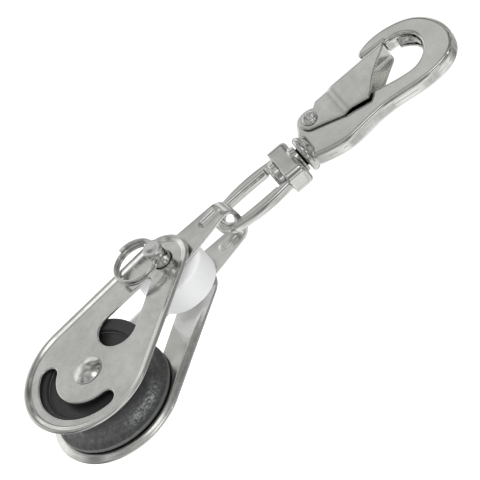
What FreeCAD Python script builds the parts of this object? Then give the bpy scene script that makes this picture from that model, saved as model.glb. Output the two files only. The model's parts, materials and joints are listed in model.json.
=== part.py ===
import FreeCAD, Part
import Sketcher
import math
import os

# Single-sheave rope block on a swivel snap hook.
# Row frame: millimetres, origin at the centre of the hook's bowl, +Z up along the swivel
# axis (towards the top of the hook), +Y along the bowl's axis, +X towards the hook's spine.
# The gate is on the -X side.  Below the hook hang the swivel eye, the strap and the block.

Vector = FreeCAD.Vector
Y_AXIS = Vector(0, 1, 0)
Z_AXIS = Vector(0, 0, 1)

doc = FreeCAD.newDocument("SnapHookBlock")

# ---------------------------------------------------------------- driving dimensions
DIMENSIONS = {
    # block
    "cheek_radius": 18.0,
    "cheek_top_radius": 7.8,
    "cheek_top_height": 32.7,
    "cheek_sheet": 1.0,
    "cheek_inner_half_gap": 5.8,
    "rim_rise": 0.6,
    "rim_band": 2.0,
    "rim_lip": 0.45,
    "pin_height": 33.2,
    "window_radius": 5.4,
    "window_height": 13.0,
    "window_top_radius": 0.8,
    "window_top_height": 26.9,
    "arc_slot_outer": 13.9,
    "arc_slot_inner": 9.3,
    "arc_slot_half_angle": 65.0,
    # sheave and axle
    "sheave_radius": 16.0,
    "sheave_half_width": 5.5,
    "sheave_rim_land": 1.1,
    "groove_depth": 4.2,
    "sheave_web_radius": 12.3,
    "sheave_web_half": 4.2,
    "sheave_hub_radius": 6.2,
    "sheave_hub_half": 5.7,
    "sleeve_radius": 4.0,
    "axle_radius": 3.0,
    "rivet_head_radius": 3.9,
    "rivet_head_rise": 1.3,
    "running_clearance": 0.08,
    # clevis pin, ring and roller
    "pin_radius": 2.5,
    "pin_head_radius": 4.0,
    "pin_head_thickness": 1.6,
    "pin_tip_reach": 12.1,
    "pin_tip_chamfer": 0.35,
    "pin_end_play": 0.1,
    "ring_hole_reach": 9.6,
    "ring_hole_radius": 1.4,
    "ring_wire": 1.05,
    "ring_radius": 6.1,
    "ring_pitch": 1.08,
    "ring_turns": 2.15,
    "roller_radius": 9.0,
    "roller_half_length": 4.15,
    "roller_edge": 0.7,
    # strap
    "strap_sheet": 1.15,
    "strap_half_gap": 4.3,
    "strap_top": 21.65,
    "strap_bend": 1.6,
    "strap_end_radius": 5.5,
    "strap_top_half_width": 2.3,
    "strap_rib_depth": 0.3,
    "strap_rib_radius": 1.25,
    # swivel eye
    "eye_bow_outer": 5.6,
    "eye_bow_inner": 3.0,
    "eye_bow_centre": 4.3,
    "eye_outer_half": 6.65,
    "eye_widest_height": 12.5,
    "eye_inner_half": 3.2,
    "eye_thickness": 2.8,
    "eye_round": 1.15,
    "collar_bottom": 19.6,
    "collar_top": 25.0,
    "collar_half_width": 6.6,
    "collar_half_depth": 3.4,
    "boss_radius": 3.65,
    "boss_top": 25.8,
    "shank_radius": 2.45,
    "washer_radius": 4.2,
    "washer_thickness": 1.5,
    # snap hook
    "bowl_radius": 6.1,
    "hook_half_thickness": 2.1,
    "hook_round": 0.9,
    "swivel_offset": 3.1,
    "hook_base": -32.2,
    "flange_radius": 4.9,
    "flange_thickness": 2.0,
    "peen_radius": 3.2,
    "peen_rise": 0.8,
    "gate_pivot_drop": 27.0,
    "gate_pivot_side": 2.3,
    "gate_sheet": 0.7,
    "gate_ear_half_gap": 2.2,
    "gate_flare": 0.55,
    "gate_web": 6.5,
    "gate_bend": 1.3,
    "gate_step_low": -20.6,
    "gate_step_high": -17.2,
    "gate_rivet_radius": 1.2,
    "gate_rivet_head": 2.1,
    "gate_rivet_rise": 0.7,
    "spring_wire": 0.5,
    "spring_radius": 1.75,
    "spring_slot_half": 1.1,
    "spring_slot_radius": 2.55,
    # where the loose parts rest
    "bow_below_hook_origin": 60.4,
    "pin_below_bow": 16.1,
    "pin_beside_swivel": 3.25,
    "eye_turn": -5.0,
    "strap_lean": -8.3,
    "block_lean": -23.5,
    "ring_turn": 229.0,
}

sheet = doc.addObject("Spreadsheet::Sheet", "Dimensions")
for row, (alias, number) in enumerate(DIMENSIONS.items(), start=1):
    sheet.set("A%d" % row, alias)
    sheet.set("B%d" % row, str(number))
    sheet.setAlias("B%d" % row, alias)
doc.recompute()


class Length:
    """A size as a number together with the sheet expression that gives it."""

    def __init__(self, value, text):
        self.value = value
        self.text = text

    def __add__(self, other):
        other = as_length(other)
        return Length(self.value + other.value, "(%s + %s)" % (self.text, other.text))

    def __sub__(self, other):
        other = as_length(other)
        return Length(self.value - other.value, "(%s - %s)" % (self.text, other.text))

    def __rsub__(self, other):
        return as_length(other) - self

    def __mul__(self, number):
        return Length(self.value * number, "(%s * %s)" % (self.text, number))

    def __neg__(self):
        return Length(-self.value, "(0 - %s)" % self.text)

    __radd__ = __add__
    __rmul__ = __mul__


def as_length(size):
    return size if isinstance(size, Length) else Length(float(size), repr(float(size)))


def dim(alias):
    """The driving dimension with this alias."""
    return Length(float(sheet.get(alias)), "Dimensions." + alias)


# ---------------------------------------------------------------- drawing helpers
def new_body(name):
    body = doc.addObject("PartDesign::Body", name)
    body.Label = name
    return body


def origin_feature(body, role):
    return next(item for item in body.Origin.OriginFeatures if item.Role == role)


def new_sketch(body, name, role="XZ_Plane", lift=None):
    """A sketch on one of the body's origin planes; lift moves it along the plane's normal."""
    sketch = body.newObject("Sketcher::SketchObject", name)
    sketch.AttachmentSupport = [(origin_feature(body, role), "")]
    sketch.MapMode = "FlatFace"
    if lift is not None:
        sketch.AttachmentOffset = FreeCAD.Placement(Vector(0, 0, lift.value), FreeCAD.Rotation())
        sketch.setExpression("AttachmentOffset.Base.z", lift.text)
    return sketch


def bind(sketch, kind, where, size):
    """Add a dimensional constraint whose value is the size's sheet expression."""
    size = as_length(size)
    index = sketch.addConstraint(Sketcher.Constraint(kind, *where, size.value))
    sketch.setExpression("Constraints[%d]" % index, size.text)


def place_point(sketch, shape, end, x, z):
    """Fix one end or centre of a sketch shape at x, z from the sketch's origin."""
    bind(sketch, "DistanceX", (-1, 1, shape, end), x)
    bind(sketch, "DistanceY", (-1, 1, shape, end), z)


def draw_circle(sketch, x, z, radius):
    x, z, radius = as_length(x), as_length(z), as_length(radius)
    circle = sketch.addGeometry(Part.Circle(Vector(x.value, z.value, 0), Z_AXIS, radius.value))
    place_point(sketch, circle, 3, x, z)
    bind(sketch, "Radius", (circle,), radius)


def add_arc(sketch, centre, radius, start, stop):
    """An arc from the angle start to the angle stop (degrees), anticlockwise."""
    circle = Part.Circle(Vector(centre[0], centre[1], 0), Z_AXIS, radius)
    return sketch.addGeometry(Part.ArcOfCircle(circle, math.radians(start), math.radians(stop)))


def add_line(sketch, start, stop):
    return sketch.addGeometry(Part.LineSegment(Vector(start[0], start[1], 0), Vector(stop[0], stop[1], 0)))


def on_circle(centre, radius, angle):
    turn = math.radians(angle)
    return (centre[0] + radius * math.cos(turn), centre[1] + radius * math.sin(turn))


def draw_teardrop(sketch, low_radius, low, top_radius, top):
    """A big arc round (0, low) and a small arc round (0, top), joined by their tangents."""
    low_radius, low, top_radius, top = [as_length(item) for item in (low_radius, low, top_radius, top)]
    lean = math.degrees(math.asin((low_radius.value - top_radius.value) / (top.value - low.value)))
    low_centre, top_centre = (0, low.value), (0, top.value)
    big = add_arc(sketch, low_centre, low_radius.value, 180 - lean, 360 + lean)
    small = add_arc(sketch, top_centre, top_radius.value, lean, 180 - lean)
    right = add_line(sketch, on_circle(low_centre, low_radius.value, lean),
                     on_circle(top_centre, top_radius.value, lean))
    left = add_line(sketch, on_circle(top_centre, top_radius.value, 180 - lean),
                    on_circle(low_centre, low_radius.value, 180 - lean))
    for one, one_end, other, other_end in ((big, 2, right, 1), (right, 2, small, 1),
                                           (small, 2, left, 1), (left, 2, big, 1)):
        sketch.addConstraint(Sketcher.Constraint("Tangent", one, one_end, other, other_end))
    place_point(sketch, big, 3, 0, low)
    place_point(sketch, small, 3, 0, top)
    bind(sketch, "Radius", (big,), low_radius)
    bind(sketch, "Radius", (small,), top_radius)


def draw_loop(sketch, radius, centre_height, half_width, widest_height, top):
    """A round bottom with bowed sides: each side is an arc that leaves the bottom arc and is
    widest at widest_height; the loop is closed flat at the top."""
    radius, centre_height, half_width, widest_height, top = [
        as_length(item) for item in (radius, centre_height, half_width, widest_height, top)]
    rise = widest_height.value - centre_height.value
    step = half_width.value - radius.value
    bow_radius = (rise ** 2 + step ** 2) / (2 * step) + radius.value
    bow_size = Length(bow_radius, "((%s)^2 + (%s)^2) / (2 * (%s)) + %s" % (
        (widest_height - centre_height).text, (half_width - radius).text,
        (half_width - radius).text, radius.text))
    # the bowed side's centre is level with its widest point, on the far side of the axis
    lean = math.degrees(math.atan2(rise, bow_radius - half_width.value))
    ends = math.degrees(math.asin((top.value - widest_height.value) / bow_radius))
    top_half = bow_radius * math.cos(math.radians(ends)) - (bow_radius - half_width.value)
    bottom = add_arc(sketch, (0, centre_height.value), radius.value, 180 + lean, 360 - lean)
    right = add_arc(sketch, (half_width.value - bow_radius, widest_height.value), bow_radius, -lean, ends)
    lid = add_line(sketch, (top_half, top.value), (-top_half, top.value))
    left = add_arc(sketch, (bow_radius - half_width.value, widest_height.value), bow_radius,
                   180 - ends, 180 + lean)
    sketch.addConstraint(Sketcher.Constraint("Tangent", bottom, 2, right, 1))
    sketch.addConstraint(Sketcher.Constraint("Coincident", right, 2, lid, 1))
    sketch.addConstraint(Sketcher.Constraint("Coincident", lid, 2, left, 1))
    sketch.addConstraint(Sketcher.Constraint("Tangent", left, 2, bottom, 1))
    sketch.addConstraint(Sketcher.Constraint("Horizontal", lid))
    place_point(sketch, bottom, 3, 0, centre_height)
    bind(sketch, "Radius", (bottom,), radius)
    bind(sketch, "DistanceY", (-1, 1, right, 3), widest_height)
    bind(sketch, "DistanceY", (-1, 1, left, 3), widest_height)
    bind(sketch, "Radius", (right,), bow_size)
    bind(sketch, "Radius", (left,), bow_size)
    bind(sketch, "DistanceY", (-1, 1, lid, 1), top)


def draw_polygon(sketch, corners, bulges=()):
    """A closed outline through the corners.

    bulges maps a side's number to (radius, side of the centre): that side is an arc.  The
    centre lies to the left of the direction of travel for +1 and to the right for -1.
    """
    bulges = dict(bulges)
    corners = [(as_length(x), as_length(z)) for x, z in corners]
    count = len(corners)
    shapes = []
    for number in range(count):
        start = Vector(corners[number][0].value, corners[number][1].value, 0)
        stop = Vector(corners[(number + 1) % count][0].value, corners[(number + 1) % count][1].value, 0)
        if number not in bulges:
            shapes.append((sketch.addGeometry(Part.LineSegment(start, stop)), 1, 2))
            continue
        radius, side = bulges[number]
        radius = as_length(radius)
        chord = stop - start
        rise = math.sqrt(max(radius.value ** 2 - (chord.Length / 2) ** 2, 0))
        across = Vector(-chord.y, chord.x, 0).normalize() * side
        centre = (start + stop) * 0.5 + across * rise
        middle = centre - across * radius.value
        arc = sketch.addGeometry(Part.Arc(start, middle, stop))
        shapes.append((arc, 1, 2) if side > 0 else (arc, 2, 1))
        bind(sketch, "Radius", (arc,), radius)
    for number, (shape, _, last) in enumerate(shapes):
        following, first, _ = shapes[(number + 1) % count]
        sketch.addConstraint(Sketcher.Constraint("Coincident", shape, last, following, first))
    for (shape, first, _), (x, z) in zip(shapes, corners):
        place_point(sketch, shape, first, x, z)


def pad(body, name, sketch, length, reverse=False, middle=False):
    feature = body.newObject("PartDesign::Pad", name)
    feature.Profile = sketch
    feature.Length = length.value
    feature.setExpression("Length", length.text)
    feature.Reversed = reverse
    feature.Midplane = middle
    doc.recompute()
    return feature


def cut(body, name, sketch, length, reverse=False, middle=False):
    """A pocket; stops the build when it takes nothing away."""
    before = body.Shape.Volume
    feature = body.newObject("PartDesign::Pocket", name)
    feature.Profile = sketch
    feature.Length = length.value
    feature.setExpression("Length", length.text)
    feature.Reversed = reverse
    feature.Midplane = middle
    doc.recompute()
    if body.Shape.Volume > before - 1e-6:
        raise RuntimeError(name + " cuts nothing")
    return feature


def revolve(body, name, sketch, axis_role):
    feature = body.newObject("PartDesign::Revolution", name)
    feature.Profile = sketch
    feature.ReferenceAxis = (origin_feature(body, axis_role), [""])
    feature.Angle = 360
    doc.recompute()
    return feature


def edges_where(feature, test):
    """Names of the feature's edges whose middle point passes the test."""
    names = []
    for number, edge in enumerate(feature.Shape.Edges, start=1):
        middle = edge.valueAt((edge.FirstParameter + edge.LastParameter) / 2)
        if test(edge, middle):
            names.append("Edge%d" % number)
    return names


def round_edges(body, name, base, test, radius):
    feature = body.newObject("PartDesign::Fillet", name)
    feature.Base = (base, edges_where(base, test))
    feature.Radius = radius.value
    feature.setExpression("Radius", radius.text)
    doc.recompute()
    return feature


# ---------------------------------------------------------------- where each group rests
def value(alias):
    return dim(alias).value


eye_place = FreeCAD.Placement(Vector(value("swivel_offset"), 0, -value("bow_below_hook_origin")),
                              FreeCAD.Rotation(Z_AXIS, value("eye_turn")))
pin_spot = Vector(value("pin_beside_swivel"), 0, -value("pin_below_bow"))
strap_place = eye_place * FreeCAD.Placement(pin_spot, FreeCAD.Rotation(Y_AXIS, value("strap_lean")))
block_turn = FreeCAD.Rotation(Y_AXIS, value("block_lean"))
axle_spot = pin_spot - block_turn.multVec(Vector(0, 0, value("pin_height")))
block_place = eye_place * FreeCAD.Placement(axle_spot, block_turn)
pin_place = eye_place * FreeCAD.Placement(pin_spot, block_turn)


# ---------------------------------------------------------------- the block
def make_cheek(name, side):
    """A stamped teardrop side plate; side is -1 for the front (-Y) plate and +1 for the rear.

    The flat middle starts at the inner half gap; the rim turns outwards over its band.
    """
    body = new_body(name)
    inner = dim("cheek_inner_half_gap")
    sheet_size = dim("cheek_sheet")
    rise = dim("rim_rise")
    band = dim("rim_band")
    lip = dim("rim_lip")
    top = dim("cheek_top_height")
    big = dim("cheek_radius")
    small = dim("cheek_top_radius")
    outward = side > 0

    outline = new_sketch(body, name + "_outline", lift=inner * -side)
    draw_teardrop(outline, big, 0, small, top)
    blank = pad(body, name + "_blank", outline, sheet_size + rise, reverse=outward)

    # the dish in the outer face, from the lip down to the flat
    loft = body.newObject("PartDesign::SubtractiveLoft", name + "_dish")
    dish_top = new_sketch(body, name + "_dish_top", lift=(inner + sheet_size + rise) * -side)
    draw_teardrop(dish_top, big - lip, 0, small - lip, top)
    dish_floor = new_sketch(body, name + "_dish_floor", lift=(inner + sheet_size) * -side)
    draw_teardrop(dish_floor, big - band, 0, small - band, top)
    loft.Profile = dish_top
    loft.Sections = [dish_floor]
    loft.Ruled = True
    doc.recompute()

    # the matching slope on the inner face
    before = body.Shape.Volume
    slope = body.newObject("PartDesign::Chamfer", name + "_slope")
    inner_plane = side * inner.value

    def on_inner_outline(edge, middle):
        return abs(middle.y - inner_plane) < 1e-4

    slope.Base = (loft, edges_where(loft, on_inner_outline))
    slope.ChamferType = "Two distances"
    slope.Size = band.value
    slope.Size2 = rise.value
    slope.setExpression("Size", band.text)
    slope.setExpression("Size2", rise.text)
    doc.recompute()
    removed = before - body.Shape.Volume
    face_area = math.pi * (big.value ** 2) * 0.5
    if removed <= 0 or removed > face_area * rise.value:
        slope.FlipDirection = True
        doc.recompute()

    # lightening window above the axle, arc slot below it, and the two holes
    through = (inner + sheet_size + rise) * 3
    window = new_sketch(body, name + "_window")
    draw_teardrop(window, dim("window_radius"), dim("window_height"),
                  dim("window_top_radius"), dim("window_top_height"))
    cut(body, name + "_window_cut", window, through, middle=True)

    slot = new_sketch(body, name + "_arc_slot")
    draw_arc_slot(slot)
    cut(body, name + "_arc_slot_cut", slot, through, middle=True)

    holes = new_sketch(body, name + "_holes")
    draw_circle(holes, 0, 0, dim("axle_radius"))
    draw_circle(holes, 0, dim("pin_height"), dim("pin_radius") + dim("running_clearance"))
    cut(body, name + "_holes_cut", holes, through, middle=True)
    body.Placement = block_place
    return body


def draw_arc_slot(sketch):
    """A curved slot under the axle, symmetric about the plate's centre line."""
    outer = dim("arc_slot_outer")
    inner = dim("arc_slot_inner")
    middle = (outer + inner) * 0.5
    half = (outer - inner) * 0.5
    half_angle = value("arc_slot_half_angle")
    first, last = 270 - half_angle, 270 + half_angle
    wide = add_arc(sketch, (0, 0), outer.value, first, last)
    narrow = add_arc(sketch, (0, 0), inner.value, first, last)
    left = add_arc(sketch, on_circle((0, 0), middle.value, first), half.value, first - 180, first)
    right = add_arc(sketch, on_circle((0, 0), middle.value, last), half.value, last, last + 180)
    for one, one_end, other, other_end in ((wide, 1, left, 2), (left, 1, narrow, 1),
                                           (narrow, 2, right, 2), (right, 1, wide, 2)):
        sketch.addConstraint(Sketcher.Constraint("Tangent", one, one_end, other, other_end))
    place_point(sketch, wide, 3, 0, 0)
    sketch.addConstraint(Sketcher.Constraint("Coincident", narrow, 3, wide, 3))
    bind(sketch, "Radius", (wide,), outer)
    bind(sketch, "Radius", (narrow,), inner)
    sine = math.sin(math.radians(half_angle))
    reach = Length(middle.value * sine, "%s * sin(Dimensions.arc_slot_half_angle * 1 deg)" % middle.text)
    bind(sketch, "DistanceX", (-1, 1, right, 3), reach)
    bind(sketch, "DistanceX", (-1, 1, left, 3), -reach)


def make_sheave():
    """A grooved plastic rope wheel with a recessed web on each side, turned about Y."""
    body = new_body("sheave")
    rim = dim("sheave_radius")
    half = dim("sheave_half_width")
    land = dim("sheave_rim_land")
    web_radius = dim("sheave_web_radius")
    web = dim("sheave_web_half")
    hub = dim("sheave_hub_radius")
    hub_half = dim("sheave_hub_half")
    bore = dim("sleeve_radius") + dim("running_clearance")
    edge = 0.4
    step = 0.4
    groove_half = half - land
    depth = dim("groove_depth")
    groove_radius_value = (groove_half.value ** 2 + depth.value ** 2) / (2 * depth.value)
    groove_radius = Length(groove_radius_value, "((%s)^2 + (%s)^2) / (2 * %s)"
                           % (groove_half.text, depth.text, depth.text))
    profile = new_sketch(body, "sheave_profile", "XY_Plane")
    corners = [(bore, -hub_half), (hub, -hub_half), (hub + step, -web), (web_radius, -web),
               (web_radius + step, -half), (rim - edge, -half), (rim, edge - half),
               (rim, -groove_half), (rim, groove_half), (rim, half - edge), (rim - edge, half),
               (web_radius + step, half), (web_radius, web), (hub + step, web), (hub, hub_half),
               (bore, hub_half)]
    draw_polygon(profile, corners, {7: (groove_radius, -1)})
    revolve(body, "sheave_turned", profile, "Y_Axis")
    body.Placement = block_place
    return body


def make_axle_sleeve():
    """The spacer tube that the sheave turns on; it keeps the rivet from pinching the cheeks."""
    body = new_body("axle_sleeve")
    ring = new_sketch(body, "axle_sleeve_section")
    draw_circle(ring, 0, 0, dim("sleeve_radius"))
    draw_circle(ring, 0, 0, dim("axle_radius"))
    pad(body, "axle_sleeve_tube", ring, dim("cheek_inner_half_gap") * 2, middle=True)
    body.Placement = block_place
    return body


def draw_headed_shank(sketch, shank, shank_half, head, rise):
    """Half section, about the sketch's vertical axis, of a rivet with two domed heads."""
    dome = (head.value ** 2 + rise.value ** 2) / (2 * rise.value)
    dome_radius = Length(dome, "((%s)^2 + (%s)^2) / (2 * %s)" % (head.text, rise.text, rise.text))
    corners = [(0, -(shank_half + rise)), (head, -shank_half), (shank, -shank_half),
               (shank, shank_half), (head, shank_half), (0, shank_half + rise)]
    draw_polygon(sketch, corners, {0: (dome_radius, 1), 4: (dome_radius, 1)})


def make_axle_rivet():
    body = new_body("axle_rivet")
    profile = new_sketch(body, "axle_rivet_profile", "XY_Plane")
    draw_headed_shank(profile, dim("axle_radius"), dim("cheek_inner_half_gap") + dim("cheek_sheet"),
                      dim("rivet_head_radius"), dim("rivet_head_rise"))
    revolve(body, "axle_rivet_turned", profile, "Y_Axis")
    body.Placement = block_place
    return body


# ---------------------------------------------------------------- pin, ring and roller
def make_clevis_pin():
    """The removable pin: head at the rear (+Y), cross hole for the split ring at the front."""
    body = new_body("clevis_pin")
    radius = dim("pin_radius")
    seat = dim("cheek_inner_half_gap") + dim("cheek_sheet") + dim("pin_end_play")
    head = dim("pin_head_radius")
    thick = dim("pin_head_thickness")
    reach = dim("pin_tip_reach")
    chamfer = dim("pin_tip_chamfer")
    edge = 0.4
    profile = new_sketch(body, "clevis_pin_profile", "XY_Plane")
    draw_polygon(profile, [(0, -reach), (radius - chamfer, -reach), (radius, chamfer - reach),
                           (radius, seat), (head, seat), (head, seat + thick - edge),
                           (head - edge, seat + thick), (0, seat + thick)])
    revolve(body, "clevis_pin_turned", profile, "Y_Axis")
    hole = new_sketch(body, "clevis_pin_hole", "YZ_Plane")
    draw_circle(hole, -dim("ring_hole_reach"), 0, dim("ring_hole_radius"))
    cut(body, "clevis_pin_hole_cut", hole, radius * 3, middle=True)
    body.Placement = pin_place * FreeCAD.Placement(Vector(), FreeCAD.Rotation(Y_AXIS, value("ring_turn")))
    return body


def make_split_ring():
    """A flat two-turn key ring; one side of its coil passes through the pin's cross hole.

    Its own origin is on the pin's axis, with the ring's middle out along +Z.
    """
    body = new_body("split_ring")
    section = new_sketch(body, "split_ring_section", "XY_Plane")
    draw_circle(section, dim("ring_radius"), -(dim("ring_pitch") * 0.5 * value("ring_turns")),
                dim("ring_wire") * 0.5)
    coil = body.newObject("PartDesign::AdditiveHelix", "split_ring_coil")
    coil.Profile = section
    coil.ReferenceAxis = (section, ["V_Axis"])
    coil.Mode = "pitch-turns-angle"
    coil.Pitch = value("ring_pitch")
    coil.Turns = value("ring_turns")
    coil.setExpression("Pitch", "Dimensions.ring_pitch")
    coil.setExpression("Turns", "Dimensions.ring_turns")
    doc.recompute()
    ends_at = -41.0
    first_pass = (90 - ends_at) / 360
    middle_of_passes = first_pass + 0.5 - value("ring_turns") / 2
    shift = Vector(0, -value("ring_hole_reach") - value("ring_pitch") * middle_of_passes,
                   value("ring_radius") - 0.25)
    body.Placement = (pin_place
                      * FreeCAD.Placement(Vector(), FreeCAD.Rotation(Y_AXIS, value("ring_turn")))
                      * FreeCAD.Placement(shift, FreeCAD.Rotation(Y_AXIS, ends_at)))
    return body


def make_roller():
    """The nylon roller on the pin, between the strap's legs."""
    body = new_body("spacer_roller")
    profile = new_sketch(body, "spacer_roller_profile", "XY_Plane")
    bore = dim("pin_radius") + dim("running_clearance")
    half = dim("roller_half_length")
    radius = dim("roller_radius")
    edge = dim("roller_edge")
    corners = [(bore, -half), (radius - edge, -half), (radius, edge - half), (radius, half - edge),
               (radius - edge, half), (bore, half)]
    draw_polygon(profile, corners, {1: (edge, 1), 3: (edge, 1)})
    revolve(body, "spacer_roller_turned", profile, "Y_Axis")
    body.Placement = pin_place
    return body


# ---------------------------------------------------------------- strap
def make_strap():
    """A strip bent to a U: two legs on the pin, a flat top over the eye's bow."""
    body = new_body("strap")
    gap = dim("strap_half_gap")
    thick = dim("strap_sheet")
    top = dim("strap_top")
    bend = dim("strap_bend")
    low = dim("strap_end_radius")
    outer = gap + thick
    corners = [(-outer, -low), (-gap, -low), (-gap, top - thick - bend), (bend - gap, top - thick),
               (gap - bend, top - thick), (gap, top - thick - bend), (gap, -low), (outer, -low),
               (outer, top - thick - bend), (outer - bend - thick, top),
               (bend + thick - outer, top), (-outer, top - thick - bend)]
    section = new_sketch(body, "strap_section", "YZ_Plane")
    draw_polygon(section, corners, {2: (bend, -1), 4: (bend, -1),
                                    8: (bend + thick, 1), 10: (bend + thick, 1)})
    pad(body, "strap_strip", section, low * 2 + 2, middle=True)

    # cut the strip back to its tapered outline, seen along the pin
    trim = new_sketch(body, "strap_outline")
    wide = low * 1.6
    draw_polygon(trim, [(-wide, -wide), (wide, -wide), (wide, top + 2), (-wide, top + 2)])
    draw_teardrop(trim, low, 0, dim("strap_top_half_width"), top + 1)
    cut(body, "strap_trim", trim, outer * 3, middle=True)

    pin_hole = new_sketch(body, "strap_pin_hole")
    draw_circle(pin_hole, 0, 0, dim("pin_radius") + dim("running_clearance"))
    drilled = cut(body, "strap_pin_hole_cut", pin_hole, outer * 3, middle=True)

    # a pressed rib in each leg: sunk outside, raised inside
    depth = dim("strap_rib_depth")
    for side, label in ((-1, "front"), (1, "rear")):
        sunk = new_sketch(body, "strap_rib_sunk_" + label, lift=outer * -side)
        draw_rib(sunk)
        cut(body, "strap_rib_cut_" + label, sunk, depth, reverse=side > 0)
        raised = new_sketch(body, "strap_rib_raised_" + label, lift=gap * -side)
        draw_rib(raised)
        pad(body, "strap_rib_pad_" + label, raised, depth, reverse=side < 0)
    body.Placement = strap_place
    return body


def draw_rib(sketch):
    """The rib's rounded outline on a leg."""
    radius = dim("strap_rib_radius")
    draw_teardrop(sketch, radius, dim("strap_top") - 9.3, radius - 0.15, dim("strap_top") - 4.3)


# ---------------------------------------------------------------- swivel eye
def make_swivel_eye():
    """The oval eye: a bow below, a boxy collar with a bored boss above.

    Its own origin is the middle of the bow's bar, on the swivel axis.
    """
    body = new_body("swivel_eye")
    thick = dim("eye_thickness")
    bow = dim("eye_bow_centre")
    floor = dim("collar_bottom")
    top = dim("collar_top")
    loop = new_sketch(body, "swivel_eye_loop")
    widest = dim("eye_widest_height")
    draw_loop(loop, dim("eye_bow_outer"), bow, dim("eye_outer_half"), widest, top - 2)
    draw_loop(loop, dim("eye_bow_inner"), bow + 0.3, dim("eye_inner_half"), widest, floor)
    bar = pad(body, "swivel_eye_bar", loop, thick, middle=True)
    face = thick.value / 2

    def on_flat_face(edge, middle):
        return abs(abs(middle.y) - face) < 1e-4 and middle.z < floor.value - 0.5

    round_edges(body, "swivel_eye_rounded", bar, on_flat_face, dim("eye_round"))

    collar = new_sketch(body, "swivel_eye_collar", "XY_Plane", lift=floor)
    half = dim("collar_half_width")
    deep = dim("collar_half_depth")
    corner = 2.0
    draw_polygon(collar, [(half, corner - deep), (half, deep - corner), (half - corner, deep),
                          (corner - half, deep), (-half, deep - corner), (-half, corner - deep),
                          (corner - half, -deep), (half - corner, -deep)],
                 {1: (corner, 1), 3: (corner, 1), 5: (corner, 1), 7: (corner, 1)})
    block = pad(body, "swivel_eye_block", collar, top - floor)

    def on_collar_top(edge, middle):
        return abs(middle.z - top.value) < 1e-4

    round_edges(body, "swivel_eye_shoulder", block, on_collar_top, as_length(1.2))

    boss = new_sketch(body, "swivel_eye_boss", "XY_Plane", lift=top - 1)
    draw_circle(boss, 0, 0, dim("boss_radius"))
    pad(body, "swivel_eye_ring", boss, dim("boss_top") - top + 1)

    bore = new_sketch(body, "swivel_eye_bore", "XY_Plane", lift=floor - 1)
    draw_circle(bore, 0, 0, dim("shank_radius") + dim("running_clearance"))
    cut(body, "swivel_eye_bore_cut", bore, top - floor + 4, reverse=True)

    # spot-faced seat for the washer on the shank's end
    seat = new_sketch(body, "swivel_eye_seat", "XY_Plane", lift=floor)
    draw_circle(seat, 0, 0, dim("washer_radius") + 0.25)
    cut(body, "swivel_eye_seat_cut", seat, dim("washer_thickness") + dim("peen_rise") + 0.6)
    body.Placement = eye_place
    return body


# ---------------------------------------------------------------- snap hook
def add_curve(sketch, points):
    """A smooth curve through the points, as one B-spline."""
    curve = Part.BSplineCurve()
    curve.interpolate([Vector(x, z, 0) for x, z in points])
    return sketch.addGeometry(curve)


def hook_outline_points():
    """Key points of the hook seen along Y: the back, the nose and the inner side.

    Each is measured from the bowl's centre; the neck's from the swivel axis.
    """
    bowl = value("bowl_radius")
    swivel = value("swivel_offset")
    base = value("hook_base")
    notch = -1.1
    bowl_drop = math.sqrt(bowl ** 2 - notch ** 2)
    back = [(swivel + 4.6, base), (9.3, -28.2), (10.5, -22.6), (10.0, -15.5), (10.0, -9.0),
            (11.2, -2.2), (11.6, 4.2), (9.7, 10.0), (5.0, 12.9), (-1.6, 12.3),
            (-7.2, 8.6), (-10.3, 2.6), (-11.0, -2.8), (-10.1, -7.0)]
    nose = [(-10.1, -7.0), (-9.4, -7.8), (-7.6, -7.2)]
    step = [(-7.6, -7.2), (-7.0, notch), (-bowl_drop, notch)]
    inside = [(bowl_drop, notch), (5.3, -4.6), (4.1, -8.4), (2.5, -12.8), (0.9, -17.0), (-0.8, -20.3)]
    lobe = [(-0.8, -20.3), (-3.0, -22.6), (-5.7, -24.4), (-6.6, -27.4), (-5.5, -30.0),
            (-3.0, -31.3), (swivel - 4.3, base)]
    return back, nose, step, inside, lobe


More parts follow.
